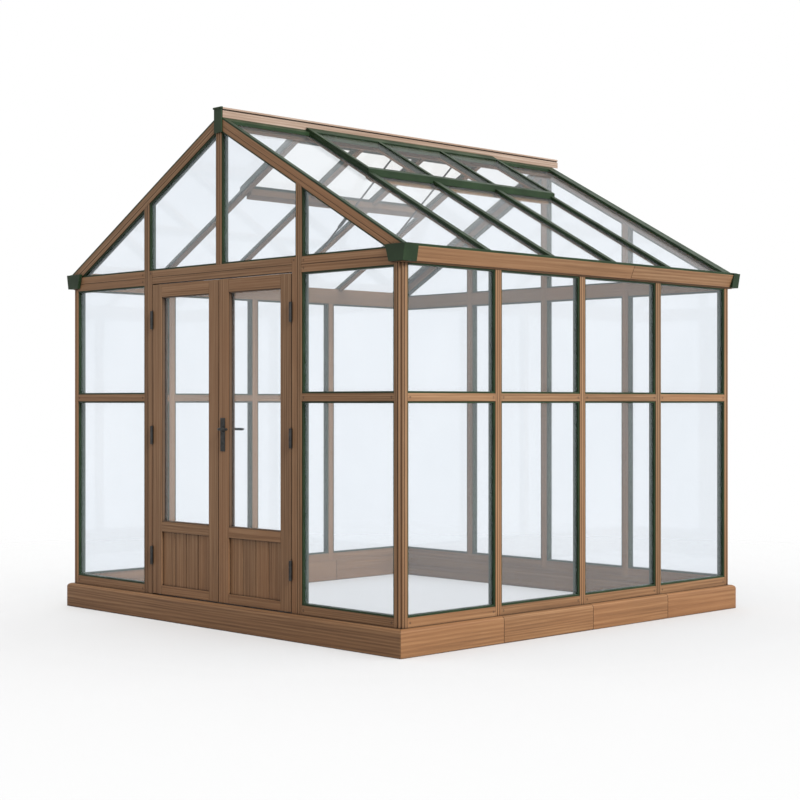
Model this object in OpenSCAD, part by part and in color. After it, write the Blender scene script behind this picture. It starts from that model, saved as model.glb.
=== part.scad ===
// Timber and glass greenhouse: cedar frame on a low plinth, glazed walls, glazed gable roof with two
// ridge vents, and a pair of outward-opening doors in the front gable.
// X is across the gables, Y runs from the front gable to the back, Z is up. The ground is z = 0.

/* [Overall] */
// outer width of the wall frame, across the gables
frame_w = 2980; // [1800:10:4800]
// outer length of the wall frame, front to back
frame_d = 2890; // [1800:10:6000]
// height of the eaves beam's top edge
eaves_h = 2100; // [1700:10:2600]
// roof pitch in degrees
roof_pitch = 28.9; // [20:0.1:40]

/* [Plinth] */
// height of the plinth boards
plinth_h = 146; // [80:1:300]
// how far the plinth stands out past the wall frame
plinth_proud = 30; // [5:1:60]
// radius of the plinth's top outer edge
plinth_round = 22; // [5:1:30]

/* [Wall timber] */
// depth of the wall timber, outside face to inside face
wall_t = 50; // [40:1:80]
// how much wider than the wall's depth a corner post's faces are
corner_extra = 0; // [0:1:40]
// face width of a wall post
post_w = 46; // [30:1:80]
// face width of the liner between a door post and its leaf
liner_w = 34; // [20:1:60]
// height of the sole rail
sole_h = 52; // [30:1:90]
// height of the mid rail
mid_h = 42; // [30:1:80]
// height of the mid rail's centre line
mid_z = 1322; // [900:1:1500]
// height of the tie rail at the eaves of a gable
tie_h = 85; // [50:1:120]
// depth of the grooves run along posts and rails
groove_t = 3; // [2:0.5:8]

/* [Eaves] */
// how far the eaves beam's top stands out past the wall frame
eaves_over = 44; // [20:1:80]
// height from the eaves beam's sloping face's foot to the roof's edge
eaves_face_h = 83; // [50:1:110]
// height of the plain strip under the sloping face
eaves_strip_h = 8; // [4:1:40]
// how far the eaves beam's lip lies under the roof's edge
lip_drop = 8; // [0:1:12]
// thickness of the green end cap on an eaves beam
cap_t = 19; // [8:1:40]
// how far the end cap laps back along the beam
cap_l = 82; // [20:1:150]
// how far the eaves beams run on past the back gable
eaves_back = 31; // [0:1:80]

/* [Roof] */
// depth of a gable rafter, square to the slope
verge_h = 68; // [50:1:140]
// thickness of a gable rafter, front to back
verge_t = 46; // [30:1:80]
// width of the green strip along the top of a gable rafter
verge_w = 30; // [16:1:40]
// width of the broad bar beside the back gable's green strip
back_bar_w = 54; // [20:1:90]
// face width of an inner rafter
rafter_w = 34; // [20:1:70]
// depth of an inner rafter under the glass
rafter_h = 14; // [10:1:80]
// depth of the trimmer under a vent's lower edge
trimmer_h = 34; // [20:1:90]
// depth of the glazing bars above the glass
bar_h = 18; // [10:1:30]
// width of a glazing bar
bar_w = 40; // [24:1:60]
// thickness of the glass
glass_t = 4; // [3:0.5:8]
// clearance where a sloping or glazed piece is seated
seat = 0.3; // [0.1:0.1:1]
// thickness of the ridge board
ridge_t = 28; // [20:1:50]
// depth of the ridge board
ridge_h = 80; // [76:1:180]
// width of the ridge capping
ridge_cap_w = 76; // [60:1:120]
// how far the green ridge flashing reaches past the capping, level
flashing_out = 34; // [30:1:120]
// height of the ridge capping's top above the roof planes' meeting line
ridge_rise = 42; // [20:1:80]
// how far the ridge capping runs on past the back gable
ridge_over = 54; // [0:1:150]

/* [Roof vents] */
// length of a vent along the ridge
vent_w = 1640; // [900:10:2400]
// length of a vent down the slope
vent_l = 618; // [300:10:900]
// height of the vent frame above the roof plane
vent_rise = 18; // [10:1:40]
// width of the vent frame's sides and lower rail
vent_rail = 28; // [24:1:60]
// level width of the vent frame's top rail
vent_top = 56; // [30:1:90]

/* [Vent stays] */
// length of a vent's opening rod
stay_l = 920; // [200:5:1100]
// radius of a vent's opening rod
stay_r = 6; // [3:0.5:10]
// how steeply the opening rods slant down, in degrees
stay_drop = 38.5; // [30:0.5:60]

/* [Glazing beads] */
// face width of the green bead round each pane
bead_w = 10; // [10:1:30]
// set-back of the bead from the wall's outer face
bead_set = 5; // [2:1:15]
// depth of the bead
bead_t = 40; // [20:1:46]
// set-back of the glass from the wall's outer face
glass_set = 17; // [10:1:36]

/* [Doors] */
// width of the doorway between its posts
door_gap_w = 1284; // [1000:2:1600]
// thickness of a door leaf
leaf_t = 42; // [34:1:46]
// clearance round a door leaf
door_gap = 6; // [5:0.5:12]
// face width of a door stile
stile_w = 89; // [60:1:120]
// height of a door's top rail
top_rail_h = 76; // [50:1:120]
// height of a door's middle rail
mid_rail_h = 58; // [40:1:100]
// height of the middle rail's underside above the plinth
panel_top = 380; // [200:5:800]
// height of a door's bottom rail
bottom_rail_h = 53; // [30:1:120]
// face width of the bead round a leaf's glass
leaf_bead_w = 6; // [4:1:16]
// thickness of the boarded lower panel
panel_t = 18; // [12:1:26]
// length of a hinge
hinge_l = 108; // [70:1:140]
// radius of a hinge knuckle
knuckle_r = 8; // [5:0.5:12]
// height of the lever handle above the ground
handle_z = 1142; // [900:1:1250]
// reach of the lever from its spindle
lever_l = 86; // [60:1:130]
// how far the lever stands out from the leaf
lever_out = 46; // [36:1:70]

/* [Hidden] */
$fn = 64;
hw = frame_w / 2;
hd = frame_d / 2;
corner_w = wall_t + corner_extra;
tanp = tan(roof_pitch);
cosp = cos(roof_pitch);
lip_x = hw + eaves_over;
lip_top = eaves_h - lip_drop;
apex_z = eaves_h - 8 + lip_x * tanp;
wall_top = eaves_h - eaves_face_h - eaves_strip_h;
tie_top = wall_top + eaves_strip_h + eaves_face_h - 17;
tie_bot = tie_top - tie_h;
door_head_z = tie_bot + 6;
sole_top = plinth_h + sole_h;
mid_lo = mid_z - mid_h / 2;
mid_hi = mid_z + mid_h / 2;
glass_u = bar_h + glass_t;
verge_top = 10;
half_door = door_gap_w / 2;
jamb_x = half_door + liner_w + post_w;
side_bay = (frame_d - 2 * corner_w - 3 * post_w) / 4;
post_y = side_bay + post_w;
back_x = post_y - 4;
vent_y = vent_w / 2;
bar_in_y = vent_w / 6;
bar_out_y = vent_y - bar_w / 2;
block_h = 146;
block_w = 70;
block_out = 8;
ridge_top = apex_z + ridge_rise;
block_bot = ridge_top - block_h;
vent_x0 = ridge_cap_w / 2 + 8;
flash_x = ridge_cap_w / 2 + flashing_out;
vent_x1 = vent_x0 + vent_l * cosp;
stay_block = 18;
stay_z = roof_z(ridge_t / 2 + stay_block, bar_h) - stay_block - seat;
leaf_lo = plinth_h + door_gap;
leaf_hi = door_head_z - door_gap;
leaf_w = half_door - door_gap * 1.5;
pin_y = -hd - knuckle_r;
pin_x = half_door - door_gap / 2;
panel_z = plinth_h + panel_top;

cedar = [0.62, 0.42, 0.29];
green = [0.2, 0.29, 0.19];
pane = [0.82, 0.88, 0.88, 0.4];
iron = [0.2, 0.2, 0.19];

// ---------- helpers ----------

// height of the roof plane's upper face at distance x from the ridge line, sunk by t square to it
function roof_z(x, t = 0) = apex_z - abs(x) * tanp - t / cosp;

// box from one corner to the other
module box(a, b) {
    translate(a)
        cube([b[0] - a[0], b[1] - a[1], b[2] - a[2]]);
}

// profile drawn in X and Z, run along Y from y0 to y1
module run_y(y0, y1) {
    translate([0, y1, 0])
        rotate([90, 0, 0])
            linear_extrude(y1 - y0)
                children();
}

// profile drawn in Y and Z, run along X from x0 to x1
module run_x(x0, x1) {
    translate([x0, 0, 0])
        rotate([90, 0, 90])
            linear_extrude(x1 - x0)
                children();
}

// slab that lies with the right-hand roof slope, t0 to t1 below its plane
module slope_slab(t0, t1, x0, x1, y0, y1) {
    run_y(y0, y1)
        polygon([[x0, roof_z(x0, t0)], [x1, roof_z(x1, t0)], [x1, roof_z(x1, t1)], [x0, roof_z(x0, t1)]]);
}

// a piece and its mirror image across the ridge line
module both_sides() {
    children();
    mirror([1, 0, 0])
        children();
}

// a piece and its mirror image at the other gable
module both_ends() {
    children();
    mirror([0, 1, 0])
        children();
}

// places a wall drawn in X and Z, its outside at y = 0 and its inside towards +Y
module at_front() {
    translate([0, -hd, 0])
        children();
}

module at_back() {
    mirror([0, 1, 0])
        at_front()
            children();
}

module at_right() {
    translate([hw, 0, 0])
        rotate([0, 0, 90])
            children();
}

// upright with two grooves run down its face
module wall_post(x, w, z0, z1) {
    difference() {
        box([x - w / 2, 0, z0], [x + w / 2, wall_t, z1]);
        for (s = [-1, 1])
            box([x + s * w / 5 - 2, -1, z0 - 1], [x + s * w / 5 + 2, groove_t, z1 + 1]);
    }
}

// rail across a bay
module rail(x0, x1, z0, z1) {
    box([x0, 0, z0], [x1, wall_t, z1]);
}

// rail with a groove run along the middle of its face
module grooved_rail(x0, x1, z0, z1) {
    difference() {
        rail(x0, x1, z0, z1);
        box([x0 - 1, -1, (z0 + z1) / 2 - 2], [x1 + 1, groove_t, (z0 + z1) / 2 + 2]);
    }
}

// grooved tie rail with its outer end cut to the slope of the gable rafter
module tie_rail(x0, x1) {
    intersection() {
        grooved_rail(x0, x1, tie_bot, tie_top);
        run_y(-1, wall_t + 1)
            polygon([[-1, 0], [hw, 0], [hw, roof_z(hw, verge_h + seat)], [-1, roof_z(-1, verge_h + seat)]]);
    }
}

// bead ring that lines a four-sided opening
module bead_ring(x0, x1, z0, z1) {
    difference() {
        box([x0, bead_set, z0], [x1, bead_set + bead_t, z1]);
        box([x0 + bead_w, 0, z0 + bead_w], [x1 - bead_w, wall_t, z1 - bead_w]);
        pane_box(x0, x1, z0, z1);
    }
}

// pane seated half way into its bead
module pane_box(x0, x1, z0, z1) {
    m = bead_w / 2;
    box([x0 + m, glass_set, z0 + m], [x1 - m, glass_set + glass_t, z1 - m]);
}

// outline of a gable opening between x0 and x1, drawn in by m; x1 = 0 runs it to a point at the eaves
function gable_x1(x1, m) =
    x1 > 0 ? x1 - m : (apex_z - (verge_h + seat + m) / cosp - tie_top - m) / tanp;

module gable_outline(x0, x1, m) {
    xa = x0 + m;
    xb = gable_x1(x1, m);
    if (x1 > 0)
        polygon([[xa, tie_top + m], [xb, tie_top + m], [xb, roof_z(xb, verge_h + seat + m)],
            [xa, roof_z(xa, verge_h + seat + m)]]);
    else
        polygon([[xa, tie_top + m], [xb, tie_top + m], [xa, roof_z(xa, verge_h + seat + m)]]);
}

module gable_bead(x0, x1) {
    difference() {
        run_y(bead_set, bead_set + bead_t)
            gable_outline(x0, x1, 0);
        run_y(0, wall_t)
            gable_outline(x0, x1, bead_w);
        gable_pane(x0, x1);
    }
}

module gable_pane(x0, x1) {
    run_y(glass_set, glass_set + glass_t)
        gable_outline(x0, x1, bead_w / 2);
}

// ---------- plinth ----------

module plinth_profile(outer) {
    inner = outer - plinth_proud - wall_t;
    difference() {
        translate([inner, 0])
            square([outer - inner, plinth_h]);
        translate([outer - plinth_round, plinth_h - plinth_round])
            difference() {
                square([plinth_round + 1, plinth_round + 1]);
                circle(plinth_round);
            }
    }
}

// floor plan of the boards that run one way, mitred at the corners
module mitre_plan(ox, oy) {
    t = plinth_proud + wall_t;
    polygon([[ox, oy], [ox - t, oy - t], [t - ox, oy - t], [-ox, oy]]);
}

module plinth_ends() {
    ox = hw + plinth_proud;
    oy = hd + plinth_proud;
    color(cedar)
        both_ends()
            intersection() {
                run_x(-ox, ox)
                    plinth_profile(oy);
                translate([0, 0, -1])
                    linear_extrude(plinth_h + 2)
                        mitre_plan(ox, oy);
            }
}

module plinth_sides() {
    ox = hw + plinth_proud;
    oy = hd + plinth_proud;
    color(cedar)
        both_sides()
            intersection() {
                run_y(-oy, oy)
                    plinth_profile(ox);
                translate([0, 0, -1])
                    linear_extrude(plinth_h + 2)
                        mirror([1, -1, 0])
                            mitre_plan(oy, ox);
            }
}

// ---------- walls ----------

// square corner post with a sunk outer corner and a groove along each face
module corner_post() {
    sunk = 13;
    difference() {
        box([hw - corner_w, -hd, plinth_h], [hw, -hd + corner_w, wall_top]);
        box([hw - sunk, -hd - 1, plinth_h - 1], [hw + 1, -hd + sunk, wall_top + 1]);
        box([hw - 27, -hd - 1, plinth_h - 1], [hw - 21, -hd + groove_t + 2, wall_top + 1]);
        box([hw - groove_t - 2, -hd + 21, plinth_h - 1], [hw + 1, -hd + 29, wall_top + 1]);
    }
}

module corner_posts() {
    color(cedar)
        both_sides()
            both_ends()
                corner_post();
}

module wall_posts() {
    color(cedar)
        both_sides()
            at_right()
                for (i = [-1:1])
                    wall_post(i * post_y, post_w, plinth_h, wall_top);
}

module door_posts() {
    color(cedar)
        at_front()
            both_sides()
                gable_post(jamb_x - post_w / 2, post_w, plinth_h);
}

module door_liners() {
    color(cedar)
        at_front()
            both_sides()
                box([half_door, 0, plinth_h], [half_door + liner_w, wall_t, tie_top]);
}

module front_rails() {
    color(cedar)
        at_front()
            both_sides() {
                rail(jamb_x, hw - corner_w, plinth_h, sole_top);
                rail(jamb_x, hw - corner_w, mid_lo, mid_hi);
                tie_rail(jamb_x, hw - corner_w);
            }
}

module door_head() {
    color(cedar)
        at_front() {
            grooved_rail(-half_door, half_door, door_head_z, tie_top);
        }
}

// post cut to the underside of the gable rafters
module gable_post(x, w, z0) {
    intersection() {
        wall_post(x, w, z0, apex_z);
        run_y(-1, wall_t + 1)
            polygon([[-hw, z0], [hw, z0], [hw, roof_z(hw, verge_h + seat)], [0, roof_z(0, verge_h + seat)],
                [-hw, roof_z(hw, verge_h + seat)]]);
    }
}

// centre post of a gable, from z0 up between the rafters
module king_post(z0) {
    intersection() {
        wall_post(0, post_w, z0, apex_z);
        run_y(-1, wall_t + 1)
            polygon([[-hw, 0], [hw, 0], [hw, roof_z(hw, verge_top + seat)], [0, roof_z(0, verge_top + seat)],
                [-hw, roof_z(hw, verge_top + seat)]]);
    }
}

module king_posts() {
    color(cedar) {
        at_front()
            king_post(tie_top);
        at_back()
            king_post(plinth_h);
    }
}

module back_posts() {
    color(cedar)
        at_back()
            both_sides()
                gable_post(back_x, post_w, plinth_h);
}

// one back bay's three rails
module back_bay(x0, x1) {
    rail(x0, x1, plinth_h, sole_top);
    rail(x0, x1, mid_lo, mid_hi);
    tie_rail(x0, x1);
}

module back_rails() {
    color(cedar)
        at_back()
            both_sides() {
                back_bay(post_w / 2, back_x - post_w / 2);
                back_bay(back_x + post_w / 2, hw - corner_w);
            }
}

// left edge of side-wall bay i, counted 0 to 3
function bay_y(i) = -hd + corner_w + i * (side_bay + post_w);

module side_rails() {
    color(cedar)
        both_sides()
            at_right()
                for (i = [0:3]) {
                    rail(bay_y(i), bay_y(i) + side_bay, plinth_h, sole_top);
                    rail(bay_y(i), bay_y(i) + side_bay, mid_lo, mid_hi);
                }
}

// ---------- eaves ----------

module eaves_profile() {
    in_x = hw - wall_t;
    lip_w = 18;
    face_z = wall_top + eaves_strip_h;
    floor_x = lip_x - lip_w - 4;
    polygon([[in_x, wall_top], [hw, wall_top], [hw, face_z], [hw + 14, face_z], [lip_x, lip_top],
        [lip_x - lip_w, lip_top], [floor_x, roof_z(floor_x, glass_u + seat)], [in_x, roof_z(in_x, glass_u + seat)]]);
}

module eaves_beams() {
    color(cedar)
        both_sides()
            run_y(-hd, hd + eaves_back)
                eaves_profile();
}

// thin green strip that closes the gap between the eaves beam and the roof glass
module eaves_strips() {
    x1 = lip_x - 3;
    x0 = lip_x - 15;
    color(green)
        both_sides()
            run_y(-hd + 1, hd + eaves_back - 1)
                polygon([[x0, lip_top], [x1, lip_top], [x1, eaves_h + 5], [x0, eaves_h + 7]]);
}

// end cap: a tapered block that closes the beam's end and laps back along its face
module eaves_cap(lap) {
    z0 = wall_top + eaves_strip_h - 4;
    z1 = eaves_h + 2;
    run_y(-cap_t, 0)
        polygon([[hw - 72, z0], [hw + 34, z0], [lip_x + 6, z1], [hw - 98, z1]]);
    run_y(0, lap)
        polygon([[hw + 22, z0], [hw + 34, z0], [lip_x + 6, z1], [lip_x, z1], [lip_x, lip_top], [hw + 14, z0 + 4],
            [hw + 14, z0]]);
}

// block that fills in behind a back cap, beside the beam's end
module eaves_cap_filler() {
    z0 = wall_top + eaves_strip_h - 4;
    z1 = eaves_h + 2;
    x1 = hw - wall_t - seat;
    run_y(0, eaves_back)
        polygon([[hw - 72, z0], [x1, z0], [x1, z1], [hw - 98, z1]]);
}

module eaves_caps() {
    color(green)
        both_sides() {
            translate([0, -hd, 0])
                eaves_cap(cap_l);
            translate([0, hd + eaves_back, 0])
                mirror([0, 1, 0]) {
                    eaves_cap(cap_l - eaves_back - 4);
                    eaves_cap_filler();
                }
        }
}

// ---------- roof ----------

// gable rafter with lengthwise grooves, let over the eaves beam and rebated for the roof glass
module gable_rafter() {
    in_x = hw - wall_t;
    x0 = post_w / 2;
    x1 = hw + 10;
    difference() {
        run_y(-hd, -hd + verge_t)
            polygon([[x0, roof_z(x0, verge_top)], [x1, roof_z(x1, verge_top)], [x1, roof_z(x1, glass_u)],
                [in_x, roof_z(in_x, glass_u)], [in_x, roof_z(in_x, verge_h)], [x0, roof_z(x0, verge_h)]]);
        slope_slab(0, glass_u + seat, x0 - 1, x1 + 1, -hd + verge_w, -hd + verge_t + 1);
        for (t = [42, 74])
            slope_slab(t, t + 3, 0, in_x + 1, -hd - 1, -hd + groove_t);
    }
}

module gable_rafters() {
    color(cedar)
        both_sides()
            both_ends()
                gable_rafter();
}

module ridge_board() {
    y1 = hd - wall_t;
    color(cedar)
        box([-ridge_t / 2, -y1, apex_z - ridge_h], [ridge_t / 2, y1, roof_z(ridge_t / 2, bar_h)]);
}

// capping with a groove along each side, hollowed underneath to sit over the flashing
module ridge_cap() {
    w = ridge_cap_w / 2;
    z1 = ridge_top;
    color(cedar)
        run_y(-hd, hd + ridge_over)
            polygon([[-w, roof_z(w) + seat], [0, roof_z(0) + seat], [w, roof_z(w) + seat],
                [w, z1 - 21], [w - 8, z1 - 20], [w - 8, z1 - 14], [w, z1 - 13],
                [w, z1 - 4], [w - 8, z1], [8 - w, z1], [-w, z1 - 4], [-w, z1 - 13], [8 - w, z1 - 14],
                [8 - w, z1 - 20], [-w, z1 - 21]]);
}

// folded strip that lies over the glass and the rafters, under the ridge capping
module flashing_profile(t) {
    polygon([[-flash_x, roof_z(flash_x, t)], [0, roof_z(0, t)], [flash_x, roof_z(flash_x, t)],
        [flash_x, roof_z(flash_x)], [0, roof_z(0)], [-flash_x, roof_z(flash_x)]]);
}

module ridge_flashing() {
    color(green) {
        run_y(-hd, hd)
            flashing_profile(verge_top - seat);
        run_y(-hd + wall_t + 1, hd - wall_t - 1)
            flashing_profile(bar_h - seat);
    }
}

// plate over the end of the ridge, with a lipped top
module ridge_block() {
    color(green) {
        box([-block_w / 2, -hd - block_out, block_bot], [block_w / 2, -hd, ridge_top - 10]);
        box([-block_w / 2 - 5, -hd - block_out - 4, ridge_top - 10], [block_w / 2 + 5, -hd, ridge_top + 1]);
    }
}

module roof_rafters() {
    in_x = hw - wall_t;
    color(cedar)
        both_sides()
            for (y = [-bar_out_y, -bar_in_y, bar_in_y, bar_out_y])
                slope_slab(glass_u + seat, glass_u + rafter_h, ridge_t / 2, in_x, y - rafter_w / 2, y + rafter_w / 2);
}

// trimmer under a vent's lower edge, hung under the inner rafters
module vent_trimmers() {
    y1 = bar_out_y - rafter_w / 2;
    x1 = vent_x1 - 20;
    x0 = x1 - 46;
    color(cedar)
        both_sides()
            difference() {
                slope_slab(glass_u + seat, glass_u + trimmer_h, x0, x1, -y1, y1);
                for (y = [-bar_in_y, bar_in_y])
                    slope_slab(0, glass_u + rafter_h + seat, x0 - 1, x1 + 1, y - rafter_w / 2 - seat,
                        y + rafter_w / 2 + seat);
            }
}

// opening rod of the left vent: a bracket on the ridge board and a rod that slants down from it
module vent_stay(y) {
    x1 = ridge_t / 2 + stay_block;
    box([ridge_t / 2, y - 12, stay_z - stay_block], [x1, y + 12, stay_z + stay_block]);
    translate([ridge_t / 2 + 8, y, stay_z])
        rotate([0, 90 + stay_drop, 0])
            cylinder(h = stay_l, r = stay_r);
}

// grip that slides on the first rod
module stay_grip(y) {
    translate([ridge_t / 2 + 8, y, stay_z])
        rotate([0, 90 + stay_drop, 0])
            translate([0, 0, stay_l * 0.6])
                cylinder(h = 150, r = stay_r + 5);
}

module vent_stays() {
    color(iron)
        mirror([1, 0, 0]) {
            vent_stay(0);
            stay_grip(0);
            vent_stay(2 * bar_in_y);
        }
}

// bar over a joint of the roof glass
module glazing_bar(x0, y) {
    slope_slab(0, bar_h - seat, x0, hw + 10, y - bar_w / 2, y + bar_w / 2);
}

// strip along the outer edge of a gable rafter
module verge_strip() {
    slope_slab(0, verge_top - seat, flash_x + seat, hw + 20, -hd, -hd + verge_w);
}

// broad bar that covers the glass's edge beside the back gable
module back_bar() {
    y1 = hd - verge_w - seat;
    slope_slab(0, bar_h - seat, flash_x + seat, hw + 10, y1 - back_bar_w, y1);
}

module glazing_bars() {
    color(green)
        both_sides() {
            back_bar();
            for (y = [-bar_out_y, bar_out_y])
                glazing_bar(flash_x + seat, y);
            for (y = [-bar_in_y, bar_in_y])
                glazing_bar(vent_x1 + seat, y);
            both_ends()
                verge_strip();
        }
}

// clear width of pane i of a vent, counted -1 to 1
function vent_lo(i) = i < 0 ? -vent_y + vent_rail : i * 2 * bar_in_y - bar_in_y + 14;
function vent_hi(i) = i > 0 ? vent_y - vent_rail : i * 2 * bar_in_y + bar_in_y - 14;

// raised frame: its sides lie on the outer glazing bars, its rails reach down to the glass
module vent_frame() {
    y1 = bar_out_y - bar_w / 2 - 1;
    x0 = flash_x + 1;
    difference() {
        slope_slab(-vent_rise, bar_h - seat, vent_x0, vent_x1, -vent_y, vent_y);
        slope_slab(-seat, bar_h + 1, vent_x0 - 1, x0, -vent_y - 1, vent_y + 1);
        for (s = [-1, 1])
            slope_slab(-seat, bar_h + 1, x0 - 1, vent_x1 + 1, s > 0 ? y1 : -vent_y - 1, s > 0 ? vent_y + 1 : -y1);
        for (i = [-1:1]) {
            slope_slab(-vent_rise - 1, bar_h + 1, vent_x0 + vent_top, vent_x1 - vent_rail, vent_lo(i), vent_hi(i));
            vent_pane(i);
        }
    }
}

module vent_pane(i) {
    t0 = -vent_rise + 6;
    slope_slab(t0, t0 + glass_t, vent_x0 + vent_top - 8, vent_x1 - vent_rail + 8, vent_lo(i) - 8, vent_hi(i) + 8);
}

module vent_frames() {
    color(green)
        both_sides()
            vent_frame();
}

module vent_glass() {
    color(pane)
        both_sides()
            for (i = [-1:1])
                vent_pane(i);
}

// ---------- wall glazing ----------

// every opening of the front wall, filled with its bead or its pane
module front_openings(kind) {
    x0 = jamb_x;
    x1 = hw - corner_w;
    both_sides() {
        wall_pane(kind, x0, x1, sole_top, mid_lo);
        wall_pane(kind, x0, x1, mid_hi, tie_bot);
        gable_piece(kind, post_w / 2, jamb_x - post_w);
        gable_piece(kind, jamb_x, 0);
    }
}

module back_openings(kind) {
    both_sides() {
        wall_pane(kind, post_w / 2, back_x - post_w / 2, sole_top, mid_lo);
        wall_pane(kind, post_w / 2, back_x - post_w / 2, mid_hi, tie_bot);
        wall_pane(kind, back_x + post_w / 2, hw - corner_w, sole_top, mid_lo);
        wall_pane(kind, back_x + post_w / 2, hw - corner_w, mid_hi, tie_bot);
        gable_piece(kind, post_w / 2, back_x - post_w / 2);
        gable_piece(kind, back_x + post_w / 2, 0);
    }
}

module side_openings(kind) {
    for (i = [0:3]) {
        wall_pane(kind, bay_y(i), bay_y(i) + side_bay, sole_top, mid_lo);
        wall_pane(kind, bay_y(i), bay_y(i) + side_bay, mid_hi, wall_top);
    }
}

module wall_pane(kind, x0, x1, z0, z1) {
    if (kind == "bead")
        bead_ring(x0, x1, z0, z1);
    else
        pane_box(x0, x1, z0, z1);
}

module gable_piece(kind, x0, x1) {
    if (kind == "bead")
        gable_bead(x0, x1);
    else
        gable_pane(x0, x1);
}

module beads_front() {
    color(green)
        at_front()
            front_openings("bead");
}

module beads_back() {
    color(green)
        at_back()
            back_openings("bead");
}

module beads_sides() {
    color(green)
        both_sides()
            at_right()
                side_openings("bead");
}

module glass_front() {
    color(pane)
        at_front()
            front_openings("glass");
}

module glass_back() {
    color(pane)
        at_back()
            back_openings("glass");
}

module glass_sides() {
    color(pane)
        both_sides()
            at_right()
                side_openings("glass");
}

module glass_roof() {
    x1 = lip_x - 24;
    color(pane)
        both_sides() {
            slope_slab(bar_h, glass_u, vent_x1 - 32, x1, -bar_in_y + 1, bar_in_y - 1);
            both_ends() {
                slope_slab(bar_h, glass_u, vent_x1 - 32, x1, bar_in_y + 1, bar_out_y - 1);
                slope_slab(bar_h, glass_u, ridge_t, x1, bar_out_y + 1, hd - verge_w - 1);
            }
        }
}

// ---------- doors ----------

// right-hand leaf: stiles and rails, grooved for the glass and the panel
module leaf_frame() {
    x0 = door_gap / 2;
    x1 = x0 + leaf_w;
    difference() {
        box([x0, -hd, leaf_lo], [x1, -hd + leaf_t, leaf_hi]);
        box([x0 + stile_w, -hd - 1, leaf_lo + bottom_rail_h], [x1 - stile_w, -hd + leaf_t + 1, panel_z]);
        box([x0 + stile_w, -hd - 1, panel_z + mid_rail_h], [x1 - stile_w, -hd + leaf_t + 1, leaf_hi - top_rail_h]);
        leaf_panel_box(x0, x1);
    }
}

module leaf_panel_box(x0, x1) {
    y0 = -hd + (leaf_t - panel_t) / 2;
    box([x0 + stile_w - 10, y0, leaf_lo + bottom_rail_h - 10], [x1 - stile_w + 10, y0 + panel_t, panel_z + 10]);
}

// boarded panel with V grooves between the boards
module leaf_panel() {
    x0 = door_gap / 2;
    x1 = x0 + leaf_w;
    pitch = (leaf_w - 2 * stile_w) / 4;
    difference() {
        leaf_panel_box(x0, x1);
        for (i = [1:3], s = [-1, 1])
            translate([x0 + stile_w + i * pitch, -hd + leaf_t / 2 + s * panel_t / 2, leaf_lo])
                rotate([0, 0, 45])
                    translate([-3, -3, 0])
                        cube([6, 6, leaf_hi]);
    }
}

// bead ring round a leaf's glass, and its pane
module leaf_bead() {
    x0 = door_gap / 2 + stile_w;
    x1 = door_gap / 2 + leaf_w - stile_w;
    z0 = panel_z + mid_rail_h;
    z1 = leaf_hi - top_rail_h;
    difference() {
        box([x0, -hd + bead_set, z0], [x1, -hd + leaf_t - 2, z1]);
        box([x0 + leaf_bead_w, -hd, z0 + leaf_bead_w], [x1 - leaf_bead_w, -hd + leaf_t, z1 - leaf_bead_w]);
        leaf_pane_box(x0, x1, z0, z1);
    }
}

module leaf_pane_box(x0, x1, z0, z1) {
    m = leaf_bead_w / 2;
    box([x0 + m, -hd + 24, z0 + m], [x1 - m, -hd + 24 + glass_t, z1 - m]);
}

module leaf_glass() {
    x0 = door_gap / 2 + stile_w;
    x1 = door_gap / 2 + leaf_w - stile_w;
    z0 = panel_z + mid_rail_h;
    z1 = leaf_hi - top_rail_h;
    leaf_pane_box(x0, x1, z0, z1);
}

// hole through the lock stile for the lever's spindle
module spindle_hole() {
    translate([lever_x, -hd - 20, handle_z])
        rotate([-90, 0, 0])
            cylinder(h = leaf_t + 40, r = 11);
}

lever_x = door_gap / 2 + stile_w / 2 - 8;

module door_right_frame() {
    color(cedar)
        difference() {
            leaf_frame();
            spindle_hole();
        }
}

module door_left_frame() {
    color(cedar)
        mirror([1, 0, 0])
            leaf_frame();
}

module door_right_panel() {
    color(cedar)
        leaf_panel();
}

module door_left_panel() {
    color(cedar)
        mirror([1, 0, 0])
            leaf_panel();
}

module door_right_glass() {
    color(pane)
        leaf_glass();
}

module door_left_glass() {
    color(pane)
        mirror([1, 0, 0])
            leaf_glass();
}

module door_right_bead() {
    color(green)
        leaf_bead();
}

module door_left_bead() {
    color(green)
        mirror([1, 0, 0])
            leaf_bead();
}

// cover strip on the inside of the left leaf's meeting stile
module door_astragal() {
    color(cedar)
        box([-door_gap / 2 - 30, -hd + leaf_t, leaf_lo + 4], [-door_gap / 2, -hd + leaf_t + 10, leaf_hi - 4]);
}

// heights of the three hinges
hinge_zs = [leaf_lo + 174 + hinge_l / 2, (leaf_lo + leaf_hi) / 2 + 24, leaf_hi - 157 - hinge_l / 2];

module knuckle(z0, z1) {
    translate([pin_x, pin_y, z0])
        cylinder(h = z1 - z0, r = knuckle_r);
}

// post side of a hinge: two outer knuckles on a leaf let into the gap beside the door
module jamb_hinge(z) {
    third = hinge_l / 3;
    for (s = [-1, 1]) {
        zs = s < 0 ? z - hinge_l / 2 : z + third / 2 + 0.5;
        knuckle(zs, zs + third - 0.5);
        box([pin_x + 1.2, pin_y, zs], [half_door, -hd + 1, zs + third - 0.5]);
    }
    box([pin_x + 1.2, -hd, z - hinge_l / 2], [half_door, -hd + 28, z + hinge_l / 2]);
}

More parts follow.
